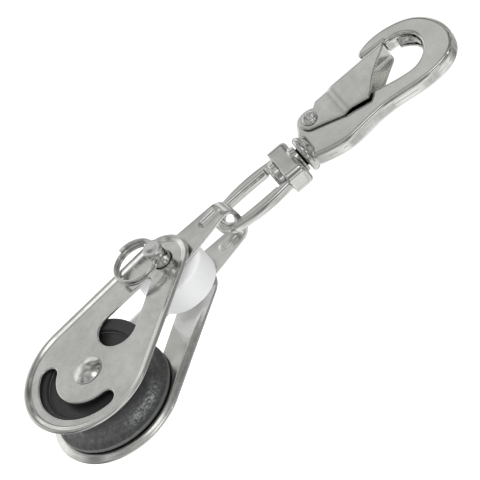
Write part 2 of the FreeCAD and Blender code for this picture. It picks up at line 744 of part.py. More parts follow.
def make_hook_body():
    """The cast hook with its neck flange and the shank that turns in the eye's collar."""
    body = new_body("hook_body")
    back, nose, step, inside, lobe = hook_outline_points()
    outline = new_sketch(body, "hook_outline")
    shapes = [add_curve(outline, back), add_curve(outline, nose)]
    shapes.append(add_line(outline, step[0], step[1]))
    shapes.append(add_line(outline, step[1], step[2]))
    bowl = dim("bowl_radius")
    end_angle = math.degrees(math.asin(-step[2][1] / bowl.value))
    arc = add_arc(outline, (0, 0), bowl.value, -end_angle, 180 + end_angle)
    bind(outline, "Radius", (arc,), bowl)
    place_point(outline, arc, 3, 0, 0)
    shapes.append(add_curve(outline, inside))
    shapes.append(add_curve(outline, lobe))
    shapes.append(add_line(outline, lobe[-1], back[0]))
    plate = pad(body, "hook_plate", outline, dim("hook_half_thickness") * 2, middle=True)
    face = dim("hook_half_thickness").value

    def on_flat_face(edge, middle):
        return abs(abs(middle.y) - face) < 1e-4

    round_edges(body, "hook_rounded", plate, on_flat_face, dim("hook_round"))

    # neck flange, shank and peened end, turned about the swivel axis
    swivel = dim("swivel_offset")
    base = dim("hook_base")
    flange = dim("flange_radius")
    shank = dim("shank_radius")
    under = base - dim("flange_thickness")
    washer_top = dim("collar_bottom") - dim("bow_below_hook_origin") - 0.1
    washer_floor = washer_top - dim("washer_thickness")
    peen = dim("peen_radius")
    neck = new_sketch(body, "hook_neck_profile")
    bulge = 0.7
    barrel = flange - bulge
    height = value("flange_thickness")
    barrel_radius = (height ** 2 / 4 + bulge ** 2) / (2 * bulge)
    barrel_size = Length(barrel_radius, "(Dimensions.flange_thickness^2 / 4 + %s) / %s"
                         % (bulge ** 2, 2 * bulge))
    corners = [(swivel, base + 1.2), (swivel + barrel - 0.9, base + 1.2), (swivel + barrel, base),
               (swivel + barrel, under), (swivel + shank, under), (swivel + shank, washer_floor),
               (swivel + peen, washer_floor), (swivel + peen - 1.0, washer_floor - dim("peen_rise")),
               (swivel, washer_floor - dim("peen_rise"))]
    draw_polygon(neck, corners, {2: (barrel_size, -1)})
    turned = body.newObject("PartDesign::Revolution", "hook_neck")
    turned.Profile = neck
    axis_line = neck.addGeometry(Part.LineSegment(Vector(swivel.value, 0, 0), Vector(swivel.value, 10, 0)),
                                 True)
    neck.addConstraint(Sketcher.Constraint("Vertical", axis_line))
    bind(neck, "DistanceX", (-1, 1, axis_line, 1), swivel)
    turned.ReferenceAxis = (neck, ["Axis0"])
    turned.Angle = 360
    doc.recompute()

    # pivot hole and the slot that holds the gate's spring
    pivot_x = -dim("gate_pivot_side")
    pivot_z = -dim("gate_pivot_drop")
    hole = new_sketch(body, "hook_pivot_hole")
    draw_circle(hole, pivot_x, pivot_z, dim("gate_rivet_radius"))
    cut(body, "hook_pivot_cut", hole, dim("hook_half_thickness") * 4, middle=True)
    slot = new_sketch(body, "hook_spring_slot")
    reach = dim("spring_slot_radius")
    slot_top = pivot_z + 5.6
    draw_polygon(slot, [(pivot_x - reach, pivot_z), (pivot_x + reach, pivot_z),
                        (pivot_x + reach, slot_top), (pivot_x - reach - 1.6, slot_top)],
                 {0: (reach * 1.02, 1)})
    cut(body, "hook_slot_cut", slot, dim("spring_slot_half") * 2, middle=True)
    return body


def make_swivel_washer():
    """The washer under the shank's peened end, inside the eye."""
    body = new_body("swivel_washer")
    top = dim("collar_bottom") - dim("bow_below_hook_origin") - 0.1
    ring = new_sketch(body, "swivel_washer_section", "XY_Plane", lift=top)
    draw_circle(ring, dim("swivel_offset"), 0, dim("washer_radius"))
    draw_circle(ring, dim("swivel_offset"), 0, dim("shank_radius"))
    disc = pad(body, "swivel_washer_disc", ring, dim("washer_thickness"), reverse=True)
    floor = top.value - value("washer_thickness")
    reach = value("washer_radius")

    def on_lower_rim(edge, middle):
        across = math.hypot(middle.x - value("swivel_offset"), middle.y)
        return abs(middle.z - floor) < 1e-4 and abs(across - reach) < 1e-3

    round_edges(body, "swivel_washer_rounded", disc, on_lower_rim, as_length(0.4))
    return body


# ---------------------------------------------------------------- gate
def gate_outline(sketch):
    """A wing of the gate seen along Y: round at the pivot, widest at its heel, slim at the tip."""
    pivot = Vector(-value("gate_pivot_side"), -value("gate_pivot_drop"), 0)
    web = -value("gate_web")
    ear = 3.0
    inside = [(1.6, -25.4), (4.1, -19.8), (4.2, -17.2), (5.4, -12.7), (4.2, -11.2), (0.6, -8.4),
              (-2.0, -5.3), (-4.6, -1.9), (-5.4, -1.4)]
    outside = [(web, -1.4), (web, -22.6)]
    toward_heel = Vector(0.9, -0.45, 0).normalize() * ear
    toward_web = Vector(-1, 1.05, 0).normalize() * ear
    points = [pivot + toward_heel] + [Vector(x, z, 0) for x, z in inside + outside]
    points.append(pivot + toward_web)
    for start, stop in zip(points, points[1:]):
        sketch.addGeometry(Part.LineSegment(start, stop))
    bottom = pivot - (toward_heel + toward_web).normalize() * ear
    sketch.addGeometry(Part.Arc(points[-1], bottom, points[0]))


def draw_gate_flank(sketch, gap, reach, side):
    """Seen along X: the stretch of wing wall at this gap from the middle plane, closed off at
    reach; the wall steps outwards in a smooth S of two equal arcs."""
    flare = dim("gate_flare")
    low = dim("gate_step_low")
    high = dim("gate_step_high")
    run = value("gate_step_high") - value("gate_step_low")
    bend = (run ** 2 / 4 + flare.value ** 2 / 4) / flare.value
    bend_size = Length(bend, "(((%s)^2 + %s^2) / (4 * %s))"
                       % ((high - low).text, flare.text, flare.text))
    far_low = -dim("gate_pivot_drop") - 8.0
    corners = [(gap * side, far_low), (gap * side, low), ((gap + flare * 0.5) * side, (low + high) * 0.5),
               ((gap + flare) * side, high), ((gap + flare) * side, 4), (reach * side, 4),
               (reach * side, far_low)]
    draw_polygon(sketch, corners, {1: (bend_size, -side), 2: (bend_size, side)})


def make_snap_gate():
    """The stamped gate: two wings joined by a web, open towards the hook's spine."""
    body = new_body("snap_gate")
    gap = dim("gate_ear_half_gap")
    thick = dim("gate_sheet")
    flare = dim("gate_flare")
    web = value("gate_web")
    pivot_x = -dim("gate_pivot_side")
    pivot_z = -dim("gate_pivot_drop")
    widest = gap + thick + flare
    outline = new_sketch(body, "gate_outline")
    gate_outline(outline)
    pad(body, "gate_blank", outline, (widest + 0.5) * 2, middle=True)

    # outside of the wings, then the outer bends between the wings and the web
    latest = None
    for side, label in ((-1, "front"), (1, "rear")):
        outside = new_sketch(body, "gate_outside_" + label, "YZ_Plane")
        draw_gate_flank(outside, gap + thick, widest + 2, side)
        latest = cut(body, "gate_outside_cut_" + label, outside, as_length(40), middle=True)

    def on_web_corner(edge, middle):
        return abs(middle.x + web) < 1e-3 and abs(middle.y) > gap.value and edge.Length > 0.8

    round_edges(body, "gate_bends", latest, on_web_corner, dim("gate_bend"))

    # hollow between the wings, with the inner bends
    hollow = new_sketch(body, "gate_hollow", "YZ_Plane")
    low = dim("gate_step_low")
    high = dim("gate_step_high")
    run = value("gate_step_high") - value("gate_step_low")
    bend = (run ** 2 / 4 + flare.value ** 2 / 4) / flare.value
    bend_size = Length(bend, "(((%s)^2 + %s^2) / (4 * %s))"
                       % ((high - low).text, flare.text, flare.text))
    far_low = pivot_z - 8
    middle = (low + high) * 0.5
    half = gap + flare * 0.5
    wide = gap + flare
    draw_polygon(hollow, [(-gap, far_low), (gap, far_low), (gap, low), (half, middle), (wide, high),
                          (wide, 4), (-wide, 4), (-wide, high), (-half, middle), (-gap, low)],
                 {2: (bend_size, -1), 3: (bend_size, 1), 7: (bend_size, 1), 8: (bend_size, -1)})
    cut(body, "gate_hollow_cut", hollow, dim("gate_web") - thick)
    opened = cut(body, "gate_hollow_back", hollow, as_length(20), reverse=True)

    def on_inner_corner(edge, middle):
        return abs(middle.x + web - thick.value) < 1e-3 and edge.Length > 0.8 and abs(middle.y) > 2

    round_edges(body, "gate_inner_bends", opened, on_inner_corner, dim("gate_bend") - thick)

    hole = new_sketch(body, "gate_pivot_hole")
    draw_circle(hole, pivot_x, pivot_z, dim("gate_rivet_radius") + dim("running_clearance"))
    cut(body, "gate_pivot_cut", hole, (gap + thick) * 4, middle=True)
    return body


def make_gate_rivet():
    body = new_body("gate_rivet")
    profile = new_sketch(body, "gate_rivet_profile", "XY_Plane")
    draw_headed_shank(profile, dim("gate_rivet_radius"),
                      dim("gate_ear_half_gap") + dim("gate_sheet") + 0.05,
                      dim("gate_rivet_head"), dim("gate_rivet_rise"))
    revolve(body, "gate_rivet_turned", profile, "Y_Axis")
    body.Placement = FreeCAD.Placement(Vector(-value("gate_pivot_side"), 0, -value("gate_pivot_drop")),
                                       FreeCAD.Rotation())
    return body


def make_gate_spring():
    """A torsion spring round the gate's rivet, one leg on the web and one in the hook's slot.

    The coil and its legs are one wire path, which neither sketches nor primitives give.
    """
    radius = value("spring_radius")
    wire = value("spring_wire")
    turns = 2.5
    pitch = wire * 1.12
    height = pitch * turns
    helix = Part.makeHelix(pitch, height, radius)
    helix.translate(Vector(0, 0, -height / 2))
    start = helix.Edges[0].valueAt(helix.Edges[0].FirstParameter)
    stop = helix.Edges[-1].valueAt(helix.Edges[-1].LastParameter)
    lower_leg = Part.makeLine(start + Vector(0, -2.2, 0), start)
    upper_leg = Part.makeLine(stop, stop + Vector(0, -5.2, 0))
    path = Part.Wire([lower_leg] + helix.Edges + [upper_leg])
    section = Part.Wire(Part.makeCircle(wire / 2, lower_leg.Vertexes[0].Point, Vector(0, 1, 0)))
    shape = path.makePipeShell([section], True, True)
    feature = doc.addObject("Part::Feature", "gate_spring")
    feature.Label = "gate_spring"
    feature.Shape = shape
    turn = FreeCAD.Rotation(Y_AXIS, -14) * FreeCAD.Rotation(Vector(1, 0, 0), -90)
    feature.Placement = FreeCAD.Placement(Vector(-value("gate_pivot_side"), 0, -value("gate_pivot_drop")),
                                          turn)
    return feature


# ---------------------------------------------------------------- build, check and write
def main():
    pieces = [
        make_cheek("front_cheek", -1),
        make_cheek("rear_cheek", 1),
        make_sheave(),
        make_axle_sleeve(),
        make_axle_rivet(),
        make_clevis_pin(),
        make_split_ring(),
        make_roller(),
        make_strap(),
        make_swivel_eye(),
        make_hook_body(),
        make_swivel_washer(),
        make_snap_gate(),
        make_gate_rivet(),
        make_gate_spring(),
    ]
    doc.recompute()
    failed = [item.Name for item in doc.Objects if "Invalid" in item.State or "Error" in item.State]
    if failed:
        raise RuntimeError("failed objects: " + ", ".join(failed))
    for piece in pieces:
        shape = piece.Shape
        if shape.isNull() or not shape.isValid() or len(shape.Solids) != 1:
            raise RuntimeError(piece.Label + " isn't one valid solid")
    os.makedirs("parts", exist_ok=True)
    for piece in pieces:
        piece.Shape.exportStep("parts/%s.step" % piece.Label)
        print("%-16s %9.2f mm3" % (piece.Label, piece.Shape.Volume))


main()
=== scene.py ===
import json
import math
import random

import bmesh
import bpy
from mathutils import Matrix, Vector


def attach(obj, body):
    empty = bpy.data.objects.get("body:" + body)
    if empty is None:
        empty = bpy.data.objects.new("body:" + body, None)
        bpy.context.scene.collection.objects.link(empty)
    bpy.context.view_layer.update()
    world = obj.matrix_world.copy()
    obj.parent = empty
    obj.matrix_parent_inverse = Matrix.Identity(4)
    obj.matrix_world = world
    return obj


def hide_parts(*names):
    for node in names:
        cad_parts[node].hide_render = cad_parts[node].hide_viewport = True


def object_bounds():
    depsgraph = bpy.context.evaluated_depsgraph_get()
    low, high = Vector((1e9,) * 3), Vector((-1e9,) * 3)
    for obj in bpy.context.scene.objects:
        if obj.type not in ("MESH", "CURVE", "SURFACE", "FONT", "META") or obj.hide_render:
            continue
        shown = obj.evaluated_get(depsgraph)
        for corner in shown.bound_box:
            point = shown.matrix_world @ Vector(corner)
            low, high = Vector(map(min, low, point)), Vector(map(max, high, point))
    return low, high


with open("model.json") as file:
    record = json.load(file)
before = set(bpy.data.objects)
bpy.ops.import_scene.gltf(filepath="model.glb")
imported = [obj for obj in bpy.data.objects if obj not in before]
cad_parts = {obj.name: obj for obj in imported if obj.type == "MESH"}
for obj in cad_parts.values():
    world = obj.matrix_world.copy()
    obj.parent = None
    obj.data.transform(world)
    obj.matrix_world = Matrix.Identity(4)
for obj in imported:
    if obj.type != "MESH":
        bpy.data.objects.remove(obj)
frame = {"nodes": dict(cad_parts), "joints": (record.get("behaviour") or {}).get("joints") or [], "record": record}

START_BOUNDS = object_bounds()
MM = 0.001
NODES = frame["nodes"]
RECORD = frame["record"]
JOINTS = {joint["name"]: joint for joint in frame["joints"]}


# ---------------------------------------------------------------- frames of the moving groups
def joint_frame(name, x_axis=None, y_axis=None, z_axis=None):
    """A right-handed frame in millimetres at a joint's place, from any two of its axes."""
    if x_axis is None:
        x_axis = y_axis.cross(z_axis)
    if y_axis is None:
        y_axis = z_axis.cross(x_axis)
    if z_axis is None:
        z_axis = x_axis.cross(y_axis)
    turn = Matrix((x_axis.normalized(), y_axis.normalized(), z_axis.normalized())).transposed()
    return Matrix.Translation(Vector(JOINTS[name]["pos_m"])) @ turn.to_4x4() @ Matrix.Scale(MM, 4)


def joint_axis(name):
    """A joint's unit axis."""
    return Vector(JOINTS[name]["axis"]).normalized()


# HOOK is the shared frame in millimetres; the others stand on a joint with Y along its pin
PIN_POINT = Vector(JOINTS["pin_spin"]["pos_m"])
AXLE_POINT = Vector(JOINTS["sheave_spin"]["pos_m"])
PIN_HEIGHT = (PIN_POINT - AXLE_POINT).length / MM
HOOK = Matrix.Scale(MM, 4)
BLOCK = joint_frame("sheave_spin", y_axis=joint_axis("sheave_spin"), z_axis=PIN_POINT - AXLE_POINT)
STRAP = joint_frame("block_swing", x_axis=joint_axis("strap_tilt"), y_axis=joint_axis("block_swing"))
PIN = joint_frame("pin_spin", x_axis=joint_axis("ring_flip"), y_axis=joint_axis("pin_spin"))


# ---------------------------------------------------------------- mesh tools (millimetres)
WELD = 0.0005
POLE = 0.0001
CREASE_ANGLE = math.radians(50)


def finish_piece(shape, name, place, body, node, material_slot):
    """Turn a bmesh drawn in a group's frame into a piece that stands for a node.

    A piece without a node is an addition that only rides on the body.
    """
    bmesh.ops.remove_doubles(shape, verts=shape.verts, dist=WELD)
    bmesh.ops.recalc_face_normals(shape, faces=shape.faces)
    shape.transform(place)
    mesh = bpy.data.meshes.new(name)
    shape.to_mesh(mesh)
    shape.free()
    mesh.polygons.foreach_set("use_smooth", [True] * len(mesh.polygons))
    mesh.set_sharp_from_angle(angle=CREASE_ANGLE)
    piece = bpy.data.objects.new(name, mesh)
    bpy.context.scene.collection.objects.link(piece)
    weighted = piece.modifiers.new("even_shading", "WEIGHTED_NORMAL")
    weighted.weight = 100
    weighted.keep_sharp = True
    mesh.materials.append(LOOKS[material_slot])
    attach(piece, body)
    if node:
        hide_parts(node)
    return piece


def add_rings(shape, rings, closed=False):
    """Join loops of points, all of one length, with quads; returns the vertex loops."""
    loops = [[shape.verts.new(point) for point in ring] for ring in rings]
    pairs = list(zip(loops, loops[1:]))
    if closed:
        pairs.append((loops[-1], loops[0]))
    for one, other in pairs:
        for index in range(len(one)):
            after = (index + 1) % len(one)
            shape.faces.new((one[index], one[after], other[after], other[index]))
    return loops


def loop_edges(shape, loop):
    """The edges round a vertex loop, made where they are missing."""
    edges = []
    for one, other in zip(loop, loop[1:] + loop[:1]):
        edges.append(shape.edges.get((one, other)) or shape.edges.new((one, other)))
    return edges


def lathe(profile, steps=96):
    """Turn a closed profile of (radius, y) points about the Y axis; on the axis radius is POLE."""
    shape = bmesh.new()
    rings = []
    for step in range(steps):
        turn = 2 * math.pi * step / steps
        rings.append([(radius * math.cos(turn), y, radius * math.sin(turn)) for radius, y in profile])
    add_rings(shape, rings, closed=True)
    return shape


def add_sweep(shape, path, section):
    """Add a closed solid along a path of (centre, side direction, up direction) steps."""
    rings = [[centre + side * a + up * b for a, b in section] for centre, side, up in path]
    loops = add_rings(shape, rings)
    shape.faces.new(loops[0])
    shape.faces.new(loops[-1])


def sweep(path, section):
    """A new solid swept along a path."""
    shape = bmesh.new()
    add_sweep(shape, path, section)
    return shape


def round_rectangle(half_wide, half_high, corner, steps=4):
    """A closed outline of (a, b) points with rounded corners."""
    points = []
    for quarter, (side, rise) in enumerate(((1, 1), (-1, 1), (-1, -1), (1, -1))):
        for step in range(steps + 1):
            turn = math.pi / 2 * (quarter + step / steps)
            points.append((side * (half_wide - corner) + corner * math.cos(turn),
                           rise * (half_high - corner) + corner * math.sin(turn)))
    return points


def teardrop(radius, low, top_radius, top, steps=40):
    """Outline as a function of how far it is grown: big arc round low, small arc round top."""
    lean = math.asin((radius - top_radius) / (top - low))

    def outline(grow):
        points = []
        for step in range(steps + 1):
            turn = math.pi - lean + (math.pi + 2 * lean) * step / steps
            points.append(((radius + grow) * math.cos(turn), low + (radius + grow) * math.sin(turn)))
        for step in range(steps // 2 + 1):
            turn = lean + (math.pi - 2 * lean) * step / (steps // 2)
            points.append(((top_radius + grow) * math.cos(turn),
                           top + (top_radius + grow) * math.sin(turn)))
        return points
    return outline


def circle(radius, height=0.0, steps=40):
    """Round outline, as a function of how far it is grown."""
    def outline(grow):
        return [((radius + grow) * math.cos(2 * math.pi * step / steps),
                 height + (radius + grow) * math.sin(2 * math.pi * step / steps))
                for step in range(steps)]
    return outline


def arc_slot(outer, inner, half_angle, steps=30):
    """A curved slot with round ends below the middle, as a function of how far it is grown."""
    middle = (outer + inner) / 2
    half = (outer - inner) / 2

    def outline(grow):
        points = []
        for step in range(steps + 1):
            turn = math.radians(270 - half_angle + 2 * half_angle * step / steps)
            points.append(((outer + grow) * math.cos(turn), (outer + grow) * math.sin(turn)))
        for end, angle in ((1, half_angle), (-1, -half_angle)):
            centre = math.radians(270 + angle)
            start = centre if end > 0 else centre + math.pi
            for step in range(1, 12):
                turn = start + math.pi * step / 12
                points.append((middle * math.cos(centre) + (half + grow) * math.cos(turn),
                               middle * math.sin(centre) + (half + grow) * math.sin(turn)))
            if end > 0:
                for step in range(steps + 1):
                    turn = math.radians(270 + half_angle - 2 * half_angle * step / steps)
                    points.append(((inner - grow) * math.cos(turn), (inner - grow) * math.sin(turn)))
        return points
    return outline


def rounded_edge(front, back, radius, sign=1, steps=4):
    """(grow, height) steps over a sheet's rounded edge from its front face to its back face.

    sign is +1 for the outer edge of the sheet and -1 for the edge of a hole.
    """
    turns = [math.pi / 2 * step / steps for step in range(steps + 1)]
    down = [(sign * (radius * math.sin(turn) - radius), front - radius * (1 - math.cos(turn)))
            for turn in turns]
    down += [(sign * (radius * math.cos(turn) - radius), back + radius * (1 - math.sin(turn)))
             for turn in turns]
    return down


def pressed_sheet(outline, edge, holes=(), hole_edge=(), dents=(), cuts=(), warp=None):
    """A sheet-metal part with flat faces, a shaped edge, through holes and pressed dents.

    outline and holes are functions of grow; edge and hole_edge are (grow, height) steps from
    the front face to the back face.  dents are (outline, depth steps) sunk into the front and
    standing out of the back.  cuts are (point, normal) planes along which faces are divided
    before warp moves every point.
    """
    shape = bmesh.new()
    fronts, backs = [], []
    for make_outline, steps in [(outline, edge)] + [(hole, hole_edge) for hole in holes]:
        rings = [[Vector((x, height, z)) for x, z in make_outline(grow)] for grow, height in steps]
        loops = add_rings(shape, rings)
        fronts += loop_edges(shape, loops[0])
        backs += loop_edges(shape, loops[-1])
    faces = ((edge[0][1], fronts), (edge[-1][1], backs))
    for make_outline, steps in dents:
        for level, rim in faces:
            rings = [[Vector((x, level + height, z)) for x, z in make_outline(grow)]
                     for grow, height in steps]
            loops = add_rings(shape, rings)
            rim += loop_edges(shape, loops[0])
            shape.faces.new(loops[-1])
    for level, rim in faces:
        bmesh.ops.triangle_fill(shape, use_beauty=True, edges=rim)
    for point, normal in cuts:
        everything = shape.verts[:] + shape.edges[:] + shape.faces[:]
        bmesh.ops.bisect_plane(shape, geom=everything, dist=0.0002, plane_co=point, plane_no=normal)
    if warp:
        for vertex in shape.verts:
            vertex.co = warp(vertex.co)
    return shape


def soften(piece, grain, rounds):
    """Round every edge of a cast or pressed piece a little, as dies and tumbling do.

    grain is the size of the even mesh laid over it, in millimetres, and rounds is how many times
    that mesh is smoothed.
    """
    remesh = piece.modifiers.new("even_grain", "REMESH")
    remesh.mode = "VOXEL"
    remesh.voxel_size = grain * MM
    remesh.use_smooth_shade = True
    smooth = piece.modifiers.new("tumbled", "SMOOTH")
    smooth.factor = 0.5
    smooth.iterations = rounds


# ---------------------------------------------------------------- pieces of the block
CHEEK_FLAT_IN = 5.8
CHEEK_FLAT_OUT = 6.8
CHEEK_RADIUS = 18.0
CHEEK_TOP_RADIUS = 7.8
CHEEK_TOP = 32.7
PIN_HOLE = 2.58
AXLE_HOLE = 3.0

# (grow, height above the inner flat) from the outer flat, over the turned-out rim, to the inner flat
CHEEK_RIM = ((-2.3, 1.0), (-2.0, 1.02), (-1.75, 1.1), (-1.45, 1.27), (-1.1, 1.48), (-0.8, 1.6),
             (-0.5, 1.64), (-0.25, 1.6), (-0.07, 1.46), (0.0, 1.26), (0.0, 0.95), (-0.05, 0.82),
             (-0.2, 0.72), (-0.5, 0.6), (-0.85, 0.45), (-1.2, 0.26), (-1.5, 0.1), (-1.8, 0.02),
             (-2.1, 0.0))


def make_cheek(side):
    """One pressed side plate; side is -1 for the front (-Y) and +1 for the rear."""
    rim = [(grow, side * (CHEEK_FLAT_IN + rise)) for grow, rise in CHEEK_RIM]
    hole_edge = [(grow, side * height)
                 for grow, height in rounded_edge(CHEEK_FLAT_OUT, CHEEK_FLAT_IN, 0.42, sign=-1)]
    window = teardrop(5.4, 13.0, 0.8, 26.9)
    slot = arc_slot(13.9, 9.3, 65.0)
    holes = [window, slot, circle(AXLE_HOLE), circle(PIN_HOLE, PIN_HEIGHT)]
    outline = teardrop(CHEEK_RADIUS, 0.0, CHEEK_TOP_RADIUS, CHEEK_TOP, steps=96)
    shape = pressed_sheet(outline, rim, holes, hole_edge)
    name = "front_cheek" if side < 0 else "rear_cheek"
    return finish_piece(shape, name + "_pressing", BLOCK, "block", name, "polished_stainless")


def make_sheave():
    """The rope wheel: rounded rim lands, a round groove with turning marks, dished sides."""
    rim, half, land, depth, lip = 16.0, 5.5, 0.9, 4.2, 0.25
    groove_half = half - land - lip
    groove_radius = (groove_half ** 2 + depth ** 2) / (2 * depth)
    # from the hub's bore outwards over the hub, the web and the flange of the front side
    profile = [(4.08, -5.7), (6.0, -5.7), (6.25, -5.6), (6.6, -4.35), (6.8, -4.2), (12.0, -4.2),
               (12.3, -4.35), (12.7, -5.35), (12.95, -5.5)]
    for step in range(5):
        turn = math.pi / 2 * step / 4
        profile.append((rim - 0.5 + 0.5 * math.sin(turn), -half + 0.5 - 0.5 * math.cos(turn)))
    spread = math.asin(groove_half / groove_radius)
    if depth > groove_radius:
        spread = math.pi - spread
    centre = rim - depth + groove_radius
    groove = []
    for step in range(41):
        turn = -spread + 2 * spread * step / 40
        ripple = 0.03 * math.sin(step * 1.1) + 0.015 * math.sin(step * 2.6)
        groove.append((centre - (groove_radius - ripple) * math.cos(turn),
                       groove_radius * math.sin(turn)))
    groove[0] = (rim - lip, -groove_half)
    groove[-1] = (rim - lip, groove_half)
    groove = [(rim, -half + land)] + groove + [(rim, half - land)]
    other_side = [(radius, -y) for radius, y in reversed(profile)]
    shape = lathe(profile + groove + other_side, 160)
    return finish_piece(shape, "sheave_wheel", BLOCK, "sheave", "sheave", "black_acetal")


def make_axle_rivet():
    """The riveted axle: two domed heads with a thin upset skirt, and the shank between them."""
    seat, shank, head, rise, skirt = CHEEK_FLAT_OUT, 2.99, 3.9, 1.3, 0.12
    ball = (head ** 2 + rise ** 2) / (2 * rise)
    spread = math.asin(head / ball)
    dome = [(POLE, seat + rise)]
    for step in range(1, 13):
        turn = spread * step / 12
        dome.append((ball * math.sin(turn), seat + rise - ball * (1 - math.cos(turn)) + skirt))
    dome += [(head + 0.05, seat + 0.13), (head + 0.05, seat + 0.02), (shank, seat + 0.01)]
    profile = dome + [(radius, -y) for radius, y in reversed(dome)]
    return finish_piece(lathe(profile), "axle_rivet_formed", BLOCK, "block", "axle_rivet",
                        "polished_stainless")


# ---------------------------------------------------------------- strap, ring and small parts
STRAP_THICK = 1.15
STRAP_INNER = 4.3
STRAP_TOP = 21.25
STRAP_BEND = 2.4


def make_strap():
    """A flat blank with round ends, holes and pressed ribs, bent to a U by moving its points."""
    middle = STRAP_INNER + STRAP_THICK / 2
    bend = STRAP_BEND + STRAP_THICK / 2
    flat = middle - bend
    leg = STRAP_TOP - STRAP_THICK - STRAP_BEND
    quarter = bend * math.pi / 2
    half_length = leg + quarter + flat
    low_radius, top_half, taper_to = 5.5, 2.3, STRAP_TOP + 1
    lean = math.asin((low_radius - top_half) / taper_to)

    def half_width(height):
        """The strip's half width at a height above the pin."""
        return (top_half + (taper_to - height) * math.sin(lean)) / math.cos(lean)

    def blank(grow):
        """Each half of the strip is round at its end and narrows towards the strip's middle."""
        points = []
        for sign in (1, -1):
            for step in range(33):
                turn = math.pi - lean + (math.pi + 2 * lean) * step / 32
                x = (low_radius + grow) * math.cos(turn)
                z = (low_radius + grow) * math.sin(turn) - half_length
                points.append((x * sign, z * sign))
            points.append(((half_width(leg) + grow) * sign, (leg - half_length) * sign))
            points.append(((half_width(STRAP_TOP) + grow) * sign, -flat * sign))
            points.append(((half_width(STRAP_TOP) + grow) * sign, flat * sign))
            points.append(((half_width(leg) + grow) * sign, (half_length - leg) * sign))
        return points

    def warp(point):
        """Distance from the middle of the strip becomes the way along the U."""
        along, height = point.z, point.y
        side = -1 if along < 0 else 1
        reach = abs(along)
        if reach <= flat:
            return Vector((point.x * side, along, STRAP_TOP - STRAP_THICK / 2 + height))
        if reach <= flat + quarter:
            turn = (reach - flat) / bend
            across = flat + (bend + height) * math.sin(turn)
            rise = STRAP_TOP - STRAP_THICK / 2 - bend + (bend + height) * math.cos(turn)
            return Vector((point.x * side, side * across, rise))
        return Vector((point.x * side, side * (middle + height), leg - (reach - flat - quarter)))

    edge = rounded_edge(STRAP_THICK / 2, -STRAP_THICK / 2, 0.42)
    hole_edge = rounded_edge(STRAP_THICK / 2, -STRAP_THICK / 2, 0.2, sign=-1)

    def on_leg(make_outline, sign):
        """An outline given by height above the pin, laid on the strip's half of that sign."""
        def outline(grow):
            return [(x, sign * (half_length - z)) for x, z in make_outline(grow)]
        return outline

    rib = teardrop(1.4, STRAP_TOP - 7.7, 1.2, STRAP_TOP - 3.9, steps=20)
    rib_slope, rib_depth = 1.1, 0.6
    rib_steps = [(0.3 - rib_slope * step / 8, -rib_depth / 2 * (1 - math.cos(math.pi * step / 8)))
                 for step in range(9)]
    holes = [on_leg(circle(PIN_HOLE), sign) for sign in (1, -1)]
    dents = [(on_leg(rib, sign), rib_steps) for sign in (1, -1)]
    cuts = [(Vector((0, 0, sign * (flat + quarter * step / 8))), Vector((0, 0, 1)))
            for sign in (1, -1) for step in range(9)]
    shape = pressed_sheet(blank, edge, holes, hole_edge, dents, cuts, warp)
    return finish_piece(shape, "strap_bent", STRAP, "strap", "strap", "polished_stainless")


CROSS_HOLE_AT = 9.6
CROSS_HOLE_RADIUS = 1.38


def make_split_ring():
    """Two turns of round spring wire whose ends lie on the coil."""
    radius, wire, pitch, turns, starts_at, drop = 6.0, 0.96, 1.06, 2.15, -41.0, 0.25
    # the first two passes through the pin's hole lie evenly about the hole's middle
    first_pass = (90 - starts_at) / 360
    lift = -CROSS_HOLE_AT - pitch * (first_pass + 0.5 - turns / 2)
    path = []
    steps = 200
    for step in range(steps + 1):
        share = step / steps
        turn = math.radians(starts_at) + 2 * math.pi * turns * share
        out = Vector((math.cos(turn), 0, -math.sin(turn)))
        centre = Vector((0, lift + pitch * turns * (share - 0.5), radius - drop)) + out * radius
        path.append((centre, out, Vector((0, 1, 0))))
    shape = sweep(path, circle(wire / 2, steps=16)(0.0))
    return finish_piece(shape, "split_ring_coil", PIN, "ring", "split_ring", "bright_stainless")


def make_gate_rivet():
    """The gate's tubular rivet: a rolled rim round a small dimple at each end."""
    seat = 2.97
    end = [(POLE, seat + 0.3), (0.45, seat + 0.28), (0.75, seat + 0.36), (0.95, seat + 0.62),
           (1.25, seat + 0.74), (1.6, seat + 0.7), (1.9, seat + 0.48), (2.08, seat + 0.2),
           (2.08, seat + 0.01), (1.18, seat)]
    profile = end + [(radius, -y) for radius, y in reversed(end)]
    place = HOOK @ Matrix.Translation(Vector(JOINTS["gate_hinge"]["pos_m"]) / MM)
    return finish_piece(lathe(profile, 48), "gate_rivet_rolled", place, "hook", "gate_rivet",
                        "bright_stainless")


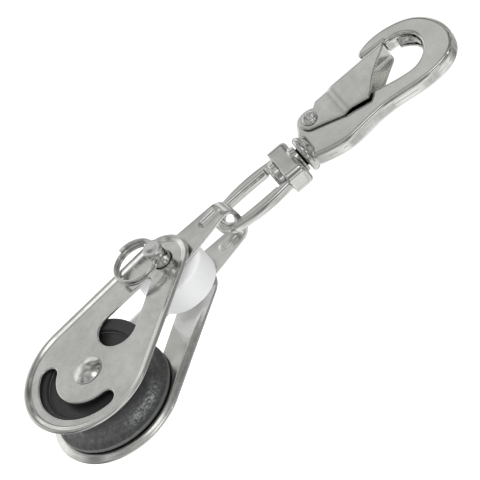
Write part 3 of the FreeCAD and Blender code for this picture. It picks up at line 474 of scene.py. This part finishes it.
def make_clevis_pin():
    """The pin: domed head at the rear, a waist round the ring's cross hole, a rough mushroomed tip."""
    head_radius, head_thick, head_edge, radius, tip = 4.0, 1.6, 0.6, 2.5, 12.1
    seat, waist = CHEEK_FLAT_OUT + 0.1, 0.3
    profile = [(POLE, seat + head_thick)]
    for step in range(1, 9):
        turn = math.pi / 2 * step / 8
        profile.append((head_radius - head_edge + head_edge * math.sin(turn),
                        seat + head_thick - head_edge * (1 - math.cos(turn))))
    profile += [(head_radius, seat + 0.02), (radius, seat), (radius, -seat - 0.3)]
    for step in range(13):
        share = step / 12
        pinch = waist * math.sin(math.pi * share) ** 2
        profile.append((radius - pinch, -seat - 0.4 - (tip - seat - 1.4) * share))
    for step in range(1, 7):
        turn = math.pi / 2 * step / 6
        profile.append((radius - 0.25 + 0.3 * math.cos(turn), -tip + 0.3 - 0.3 * math.sin(turn)))
    profile += [(1.3, -tip + 0.05), (0.7, -tip + 0.12), (POLE, -tip + 0.14)]
    mouth = circle(CROSS_HOLE_RADIUS, -CROSS_HOLE_AT)(0.0)
    drill = bmesh.new()
    loops = add_rings(drill, [[(x, y, z) for x, y in mouth] for z in (-4.0, 4.0)])
    for loop in loops:
        drill.faces.new(loop)
    return finish_piece(drilled(lathe(profile, 72), drill), "clevis_pin_turned", PIN, "pin",
                        "clevis_pin", "bright_stainless")


def drilled(solid, tool):
    """The solid with the tool's volume cut away; both are bmeshes in one frame."""
    holders = []
    for shape in (solid, tool):
        bmesh.ops.remove_doubles(shape, verts=shape.verts, dist=WELD)
        bmesh.ops.recalc_face_normals(shape, faces=shape.faces)
        mesh = bpy.data.meshes.new("drilling")
        shape.to_mesh(mesh)
        shape.free()
        holder = bpy.data.objects.new("drilling", mesh)
        bpy.context.scene.collection.objects.link(holder)
        holders.append(holder)
    difference = holders[0].modifiers.new("drill", "BOOLEAN")
    difference.operation = "DIFFERENCE"
    difference.solver = "EXACT"
    difference.object = holders[1]
    ready = holders[0].evaluated_get(bpy.context.evaluated_depsgraph_get())
    result = bmesh.new()
    result.from_mesh(ready.to_mesh())
    ready.to_mesh_clear()
    for holder in holders:
        mesh = holder.data
        bpy.data.objects.remove(holder)
        bpy.data.meshes.remove(mesh)
    return result


BOWL_RADIUS = 6.5
BOWL_SWELL = 1.2


def make_hook_body():
    """The cast hook with a bead on its bowl's bearing surface, thicker towards the nose."""
    shape = bmesh.new()
    shape.from_mesh(NODES["hook_body"].data)
    shape.transform(Matrix.Scale(1 / MM, 4))
    sunk, least, half_wide, off_middle, drift = 0.4, 0.55, 1.45, 0.2, 0.45
    path = []
    # angles run round the bowl from its throat side (0) over the top (90) to the nose
    for angle in range(-30, 161, 5):
        turn = math.radians(angle)
        share = min(max((angle - 50) / 80, 0.0), 1.0)
        swell = least + BOWL_SWELL * share * share * (3 - 2 * share)
        swell *= min((angle + 30) / 30, 1.0)
        inward = Vector((-math.cos(turn), 0, -math.sin(turn)))
        centre = inward * -BOWL_RADIUS + Vector((0, off_middle + drift * share, 0))
        path.append((centre, inward * (sunk + swell), Vector((0, 1, 0))))
    section = [(a, half_wide * b) for a, b in circle(1.0, steps=16)(0.0)]
    bead = sweep(path, section)
    extra = bpy.data.meshes.new("bowl_bead")
    bmesh.ops.recalc_face_normals(bead, faces=bead.faces)
    bead.to_mesh(extra)
    bead.free()
    shape.from_mesh(extra)
    bpy.data.meshes.remove(extra)
    return finish_piece(shape, "hook_casting", HOOK, "hook", "hook_body", "plated_casting")


def outer_loop(node):
    """Points round the outside of a node where the plane Y = 0 cuts it, in order."""
    shape = bmesh.new()
    shape.from_mesh(NODES[node].data)
    bmesh.ops.remove_doubles(shape, verts=shape.verts, dist=1e-6)
    everything = shape.verts[:] + shape.edges[:] + shape.faces[:]
    made = bmesh.ops.bisect_plane(shape, geom=everything, dist=1e-7, plane_co=(0, 0, 0),
                                  plane_no=(0, 1, 0), clear_inner=True, clear_outer=True)
    # a dict keeps the edges in the order they were cut, so that every run walks the same way
    edges = dict.fromkeys(item for item in made["geom_cut"] if isinstance(item, bmesh.types.BMEdge))
    loops = []
    while edges:
        onward = next(iter(edges))
        chain = [onward.verts[0], onward.verts[1]]
        while onward:
            del edges[onward]
            onward = next((edge for edge in chain[-1].link_edges if edge in edges), None)
            if onward:
                chain.append(onward.other_vert(chain[-1]))
        loops.append([vertex.co.copy() / MM for vertex in chain])
    shape.free()
    return max(loops, key=len)


def make_hook_seam():
    """Short bits of casting seam left along the hook's spine, like a broken line."""
    loop = outer_loop("hook_body")
    shape = bmesh.new()
    picker = random.Random(11)
    section = round_rectangle(0.07, 0.1, 0.05, 2)
    step = 0
    while step < len(loop) - 8:
        length = picker.randint(4, 11)
        stretch = loop[step:step + length]
        step += length + picker.randint(1, 3)
        middle = stretch[len(stretch) // 2]
        # none is left round the neck or on the gate's side
        if len(stretch) < 3 or middle.z < -30 or (middle.x < 1 and middle.z < -4):
            continue
        path = []
        for index, point in enumerate(stretch):
            before = stretch[max(index - 1, 0)]
            after = stretch[min(index + 1, len(stretch) - 1)]
            along = (after - before).normalized()
            out = Vector((along.z, 0, -along.x))
            path.append((point, out, Vector((0, 1, 0))))
        add_sweep(shape, path, section)
    return finish_piece(shape, "hook_seam", HOOK, "hook", None, "plated_casting")


# ---------------------------------------------------------------- materials
class Nodes:
    """A short way to build a node tree."""

    def __init__(self, tree):
        self.tree = tree
        self.tree.nodes.clear()

    def add(self, kind, settings=None, **inputs):
        node = self.tree.nodes.new(kind)
        for name, setting in (settings or {}).items():
            setattr(node, name, setting)
        for name, source in inputs.items():
            self.feed(node, name.replace("_", " "), source)
        return node

    def feed(self, node, name, source):
        socket = node.inputs[name]
        if isinstance(source, bpy.types.NodeSocket):
            self.tree.links.new(source, socket)
        else:
            socket.default_value = source

    def noise(self, where, scale, detail=3.0, roughness=0.5):
        return self.add("ShaderNodeTexNoise", Vector=where, Scale=scale, Detail=detail,
                        Roughness=roughness).outputs["Fac"]

    def remap(self, source, low, high, from_low=0.0, from_high=1.0):
        node = self.add("ShaderNodeMapRange")
        for name, value in (("Value", source), ("From Min", from_low), ("From Max", from_high),
                            ("To Min", low), ("To Max", high)):
            self.feed(node, name, value)
        return node.outputs["Result"]

    def math(self, operation, first, second=0.0):
        node = self.add("ShaderNodeMath", {"operation": operation})
        self.tree.links.new(first, node.inputs[0])
        if isinstance(second, bpy.types.NodeSocket):
            self.tree.links.new(second, node.inputs[1])
        else:
            node.inputs[1].default_value = second
        return node.outputs["Value"]

    def dot(self, vector, axis):
        node = self.add("ShaderNodeVectorMath", {"operation": "DOT_PRODUCT"})
        self.tree.links.new(vector, node.inputs[0])
        node.inputs[1].default_value = axis
        return node.outputs["Value"]

    def mix_colour(self, factor, first, second):
        node = self.add("ShaderNodeMix", {"data_type": "RGBA"})
        self.feed(node, "Factor", factor)
        for index, colour in ((6, first), (7, second)):
            if isinstance(colour, bpy.types.NodeSocket):
                self.tree.links.new(colour, node.inputs[index])
            else:
                node.inputs[index].default_value = (*colour, 1.0)
        return node.outputs[2]

    def openness(self, distance):
        """1 where nothing stands near the surface, less in corners and behind other pieces."""
        return self.add("ShaderNodeAmbientOcclusion", {"samples": 6}, Distance=distance).outputs["AO"]

    def bump(self, height, strength, distance, normal=None):
        node = self.add("ShaderNodeBump", Height=height, Strength=strength, Distance=distance)
        if normal is not None:
            self.tree.links.new(normal, node.inputs["Normal"])
        return node.outputs["Normal"]


def new_material(name):
    """An empty node material: the material, its nodes, its shader and the object coordinates."""
    material = bpy.data.materials.new(name)
    material.use_nodes = True
    nodes = Nodes(material.node_tree)
    output = nodes.add("ShaderNodeOutputMaterial")
    shader = nodes.add("ShaderNodeBsdfPrincipled")
    nodes.tree.links.new(shader.outputs["BSDF"], output.inputs["Surface"])
    where = nodes.add("ShaderNodeTexCoord").outputs["Object"]
    return material, nodes, shader, where


# how far from a surface other pieces darken metal with painted shade
CREASE = 1.6 * MM


def metal(name, colour, roughness, wave, crease=CREASE):
    """Bare or plated metal: soft waviness, fine scratches, uneven polish, stains, and painted shade that darkens
    its colour in creases and close to other pieces.
    """
    material, nodes, shader, where = new_material(name)
    stain = nodes.noise(where, 75.0, 4.0, 0.55)
    hairlines = nodes.noise(where, 2600.0, 3.0, 0.7)
    darker = tuple(channel * 0.78 for channel in colour)
    marks = nodes.math("ADD", nodes.remap(stain, -0.25, 0.75, 0.3, 0.7),
                       nodes.remap(hairlines, 0.0, 0.5, 0.3, 0.7))
    skin = nodes.mix_colour(marks, darker, colour)
    # Painted shade: the colour darkens where other surfaces stand within crease of it, in corners and behind
    # nearby pieces, where light is shut out.
    painted_crease_shade = tuple(channel * 0.22 for channel in colour)
    unshaded_by_creases = nodes.remap(nodes.openness(crease), 0.0, 1.0, 0.15, 0.75)
    nodes.feed(shader, "Base Color", nodes.mix_colour(unshaded_by_creases, painted_crease_shade, skin))
    shader.inputs["Metallic"].default_value = 1.0
    uneven = nodes.noise(where, 420.0, 3.0, 0.55)
    rough = nodes.math("ADD", nodes.remap(uneven, roughness * 0.65, roughness * 1.35, 0.3, 0.7),
                       nodes.remap(hairlines, 0.0, 0.08, 0.55, 0.8))
    nodes.feed(shader, "Roughness", rough)
    slow = nodes.bump(nodes.noise(where, 210.0, 1.0, 0.4), wave, 0.00012)
    nodes.feed(shader, "Normal", nodes.bump(hairlines, 0.25, 0.000018, slow))
    return material


def plastic(name, colour, roughness, speckle, depth, soak_and_painted_glow=0.0):
    """Moulded or turned plastic: speckled, unevenly dull, finely grained.

    The last argument is how far light soaks through it and also how strongly it glows of itself: a painted glow
    that evens out its light and shade.  Also returns what a finer finish builds on.
    """
    material, nodes, shader, where = new_material(name)
    dust = nodes.noise(where, 900.0, 3.0, 0.7)
    lighter = tuple(min(channel * speckle, 1.0) for channel in colour)
    tone = nodes.mix_colour(nodes.remap(dust, 0.0, 1.0, 0.45, 0.75), colour, lighter)
    worn = nodes.noise(where, 300.0, 3.0, 0.5)
    rough = nodes.remap(worn, roughness * 0.8, roughness * 1.2, 0.3, 0.7)
    grain = nodes.noise(where, 2400.0, 3.0, 0.6)
    normal = nodes.bump(grain, 0.35, depth)
    # Emission Strength is a painted glow: the plastic gives off light of its own to even out its light and shade,
    # on top of the light soaking through it.
    for socket, value in (("Base Color", tone), ("Roughness", rough), ("Normal", normal),
                          ("Subsurface Weight", soak_and_painted_glow), ("Subsurface Radius", (4 * MM,) * 3),
                          ("Subsurface Scale", 1.0), ("Emission Color", (1.0, 1.0, 1.0, 1.0)),
                          ("Emission Strength", soak_and_painted_glow * 1.3), ("Specular IOR Level", 0.5 - soak_and_painted_glow)):
        nodes.feed(shader, socket, value)
    return material, nodes, shader, where, tone, normal


PATCH_ANGLE = 0.05
PATCH_ACROSS = 3.1
GROOVE_LIP = 4.55


def rope_worn(name, colour):
    """Dark plastic with turned rings across the groove, a patch on its rear wall that is rope-rubbed and also
    painted light as a highlight, and painted shade from the rear wall towards the groove's front.
    """
    material, nodes, shader, where, tone, normal = plastic(name, colour, 0.36, 2.0, 0.00005)

    def along(axis):
        """Distance from the axle's middle along an axis of the block, in millimetres."""
        move = nodes.add("ShaderNodeVectorMath", {"operation": "SUBTRACT"})
        nodes.tree.links.new(where, move.inputs[0])
        move.inputs[1].default_value = AXLE_POINT
        return nodes.dot(move.outputs["Vector"], axis.normalized() / MM)

    across = along(joint_axis("sheave_spin"))
    turn = nodes.math("ARCTAN2", along(BLOCK.col[2].xyz), along(BLOCK.col[0].xyz))

    def near(value, middle, high, full, gone):
        """High within full of the middle, falling to nothing at gone."""
        away = nodes.math("ABSOLUTE", nodes.math("SUBTRACT", value, middle))
        return nodes.remap(away, high, 0.0, full, gone)

    flakes = nodes.remap(nodes.noise(where, 1500.0, 4.0, 0.8), 0.0, 1.0, 0.46, 0.6)
    # The patch is partly rope wear and partly a painted highlight: a lighter, flaked colour where light glances
    # off the rear wall.
    patch = nodes.math("MULTIPLY", near(turn, PATCH_ANGLE, 1.0, 0.2, 0.65),
                       near(across, PATCH_ACROSS, 1.0, 0.3, 1.1))
    rubbed_and_highlit = nodes.math("MULTIPLY", patch, flakes)
    # painted shade: darker from the rear wall towards the groove's bottom and front wall, and darker still where
    # other pieces stand close and shut out light
    lit_towards_rear = nodes.remap(across, 0.0, 1.0, -0.9, 2.4)
    unshaded_by_neighbours = nodes.remap(nodes.openness(5 * MM), 0.0, 1.0, 0.1, 0.42)
    painted_shade_colour = tuple(channel * 0.3 for channel in colour)
    tone = nodes.mix_colour(nodes.math("MULTIPLY", lit_towards_rear, unshaded_by_neighbours), painted_shade_colour, tone)
    lip = near(nodes.math("ABSOLUTE", across), GROOVE_LIP, 0.75, 0.05, 0.2)
    tone = nodes.mix_colour(lip, tone, (0.17, 0.17, 0.175))
    nodes.feed(shader, "Base Color", nodes.mix_colour(rubbed_and_highlit, tone, (0.55, 0.58, 0.6)))
    rings = nodes.math("SINE", nodes.math("MULTIPLY", across, 6.0))
    nodes.feed(shader, "Normal", nodes.bump(rings, 0.5, 0.00009, normal))
    return material


# ---------------------------------------------------------------- stage
FACING = Vector((-0.692, 0.721, -0.033)).normalized()
IMAGE_RIGHT = Vector((0.451, 0.467, 0.761))
AIM = Vector((13.4, -2.6, -58.9)) * MM
CAMERA_DISTANCE = 0.9
FIELD_WIDTH = 116.4 * MM

BASE_LIGHT = 0.42
# each: direction as (right, up, toward the camera), the cosines where it starts and is full, and
# what it adds to the light: white table behind, darker sides, small lamps, the dark camera itself
STUDIO_LOBES = (
    ((0.0, 0.0, -1.0), 0.2, 0.9, 0.22),
    ((0.57, -0.82, -0.09), 0.62, 0.86, 0.40),
    ((-0.70, 0.70, -0.09), 0.80, 0.95, -0.02),
    ((-0.85, 0.23, -0.47), 0.88, 0.98, 0.45),
    ((-0.31, 0.78, -0.54), 0.94, 0.985, 0.45),
    ((-0.50, -0.87, 0.0), 0.75, 0.93, -0.22),
    ((0.72, 0.60, 0.34), 0.75, 0.95, -0.14),
    ((0.59, 0.49, -0.64), 0.90, 0.97, -0.25),
    ((0.0, 0.95, 0.3), 0.90, 0.98, -0.12),
    ((-0.30, 0.55, 0.78), 0.975, 0.992, 1.0),
    ((0.30, -0.20, 0.93), 0.975, 0.992, 0.8),
    ((0.0, 0.0, 1.0), 0.955, 0.99, -0.3),
)
CLUTTER = 0.23
BACKDROP = 1.1


def camera_axes():
    """Right, up and backward directions of the camera, made exactly square to each other."""
    back = -FACING
    right = (IMAGE_RIGHT - back * IMAGE_RIGHT.dot(back)).normalized()
    return right, back.cross(right), back


def make_camera():
    """The camera; its lens comes from the width it takes in at the block's distance."""
    data = bpy.data.cameras.new("camera")
    data.sensor_width = 36.0
    data.lens = data.sensor_width * CAMERA_DISTANCE / FIELD_WIDTH
    data.clip_start = 0.05
    data.clip_end = 60.0
    camera = bpy.data.objects.new("camera", data)
    bpy.context.scene.collection.objects.link(camera)
    turn = Matrix(camera_axes()).transposed()
    camera.matrix_world = Matrix.Translation(AIM - FACING * CAMERA_DISTANCE) @ turn.to_4x4()
    bpy.context.scene.camera = camera


def make_floor():
    """A wide pale floor a little below the block; metal reflects the studio's light, not it."""
    mesh = bpy.data.meshes.new("floor")
    grid = bmesh.new()
    bmesh.ops.create_grid(grid, x_segments=8, y_segments=8, size=30.0)
    grid.to_mesh(mesh)
    grid.free()
    floor = bpy.data.objects.new("floor", mesh)
    floor.location.z = START_BOUNDS[0].z - 60 * MM
    bpy.context.scene.collection.objects.link(floor)
    material, nodes, shader, where = new_material("floor_paper")
    tone = nodes.noise(where, 0.6, 2.0)
    nodes.feed(shader, "Base Color", nodes.mix_colour(tone, (0.9, 0.9, 0.9), (0.93, 0.93, 0.93)))
    shader.inputs["Roughness"].default_value = 0.9
    shader.inputs["Emission Color"].default_value = (1.0, 1.0, 1.0, 1.0)
    shader.inputs["Emission Strength"].default_value = 0.95
    mesh.materials.append(material)
    floor.visible_glossy = False


def make_world():
    """Studio light all round: the base level, a room's unevenness and the lobes.

    The camera sees the background as plain white instead of this light.
    """
    world = bpy.data.worlds.new("studio")
    bpy.context.scene.world = world
    world.use_nodes = True
    nodes = Nodes(world.node_tree)
    output = nodes.add("ShaderNodeOutputWorld")
    direction = nodes.add("ShaderNodeTexCoord").outputs["Generated"]
    right, up, back = camera_axes()

    def lobe(axis, start, stop, level):
        """Light that grows to level as the direction turns from start to stop along the axis."""
        ramp = nodes.add("ShaderNodeMapRange", {"interpolation_type": "SMOOTHSTEP"})
        for name, value in (("Value", nodes.dot(direction, axis.normalized())), ("From Min", start),
                            ("From Max", stop), ("To Min", 0.0), ("To Max", level)):
            nodes.feed(ramp, name, value)
        return ramp.outputs["Result"]

    # shapes of a room round the table, which break up the reflections on curved metal
    room = nodes.noise(direction, 3.6, 1.5, 0.4)
    light = nodes.math("ADD", nodes.remap(room, -CLUTTER, CLUTTER, 0.35, 0.65), BASE_LIGHT)
    for axis, start, stop, level in STUDIO_LOBES:
        toward = right * axis[0] + up * axis[1] + back * axis[2]
        light = nodes.math("ADD", light, lobe(toward, start, stop, level))
    light = nodes.math("MAXIMUM", light, 0.05)
    level = nodes.add("ShaderNodeMix", {"data_type": "FLOAT"})
    nodes.feed(level, "Factor", nodes.add("ShaderNodeLightPath").outputs["Is Camera Ray"])
    nodes.tree.links.new(light, level.inputs[2])
    level.inputs[3].default_value = BACKDROP
    background = nodes.add("ShaderNodeBackground", Color=(1.0, 0.995, 0.985, 1.0))
    nodes.tree.links.new(level.outputs[0], background.inputs["Strength"])
    nodes.tree.links.new(background.outputs["Background"], output.inputs["Surface"])


def make_lamp(name, offset, size, power, mirrored=True):
    """A soft square lamp; offset is right, up and toward the camera, in metres from the middle.

    mirrored says whether shiny pieces show it.
    """
    data = bpy.data.lights.new(name, "AREA")
    data.size = size
    data.energy = power
    lamp = bpy.data.objects.new(name, data)
    right, up, back = camera_axes()
    away = right * offset[0] + up * offset[1] + back * offset[2]
    lamp.location = AIM + away
    lamp.visible_glossy = mirrored
    lamp.rotation_mode = "QUATERNION"
    lamp.rotation_quaternion = (-away).to_track_quat("-Z", "Y")
    bpy.context.scene.collection.objects.link(lamp)


def make_studio():
    """Camera, floor, surrounding light and two lamps."""
    bpy.context.scene.view_settings.view_transform = "Standard"
    make_camera()
    make_floor()
    make_world()
    make_lamp("key", (-0.3, 0.9, 1.2), 1.0, 8.0, mirrored=False)
    make_lamp("sparkle", (0.54, 0.60, 0.88), 0.08, 0.16)


# ---------------------------------------------------------------- finishes
def finishes():
    """One material for each slot named in the record."""
    return {
        "polished_stainless": metal("polished_stainless", (0.86, 0.865, 0.84), 0.17, wave=0.2),
        "bright_stainless": metal("bright_stainless", (0.86, 0.865, 0.845), 0.13, wave=0.15,
                                  crease=0.7 * MM),
        "plated_casting": metal("plated_casting", (0.82, 0.82, 0.795), 0.09, wave=0.4),
        "spring_steel": metal("spring_steel", (0.42, 0.42, 0.43), 0.3, wave=0.1),
        "black_acetal": rope_worn("black_acetal", (0.078, 0.08, 0.079)),
        # the white nylon glows with painted light of its own, besides the light that soaks through it
        "white_nylon": plastic("white_nylon", (0.48, 0.485, 0.495), 0.5, 1.05, 0.00002, soak_and_painted_glow=0.3)[0],
    }


def paint_nodes(looks):
    """Give every CAD node its slot's finish."""
    for part in RECORD["subparts"]:
        mesh = NODES[part["node"]].data
        mesh.materials.clear()
        mesh.materials.append(looks[part["material_slot"]])


LOOKS = finishes()
make_studio()
paint_nodes(LOOKS)
make_cheek(-1)
make_cheek(1)
make_sheave()
make_axle_rivet()
make_strap()
make_clevis_pin()
make_split_ring()
make_gate_rivet()
make_hook_seam()
soften(make_hook_body(), grain=0.2, rounds=5)
soften(NODES["snap_gate"], grain=0.14, rounds=6)
soften(NODES["swivel_eye"], grain=0.16, rounds=7)
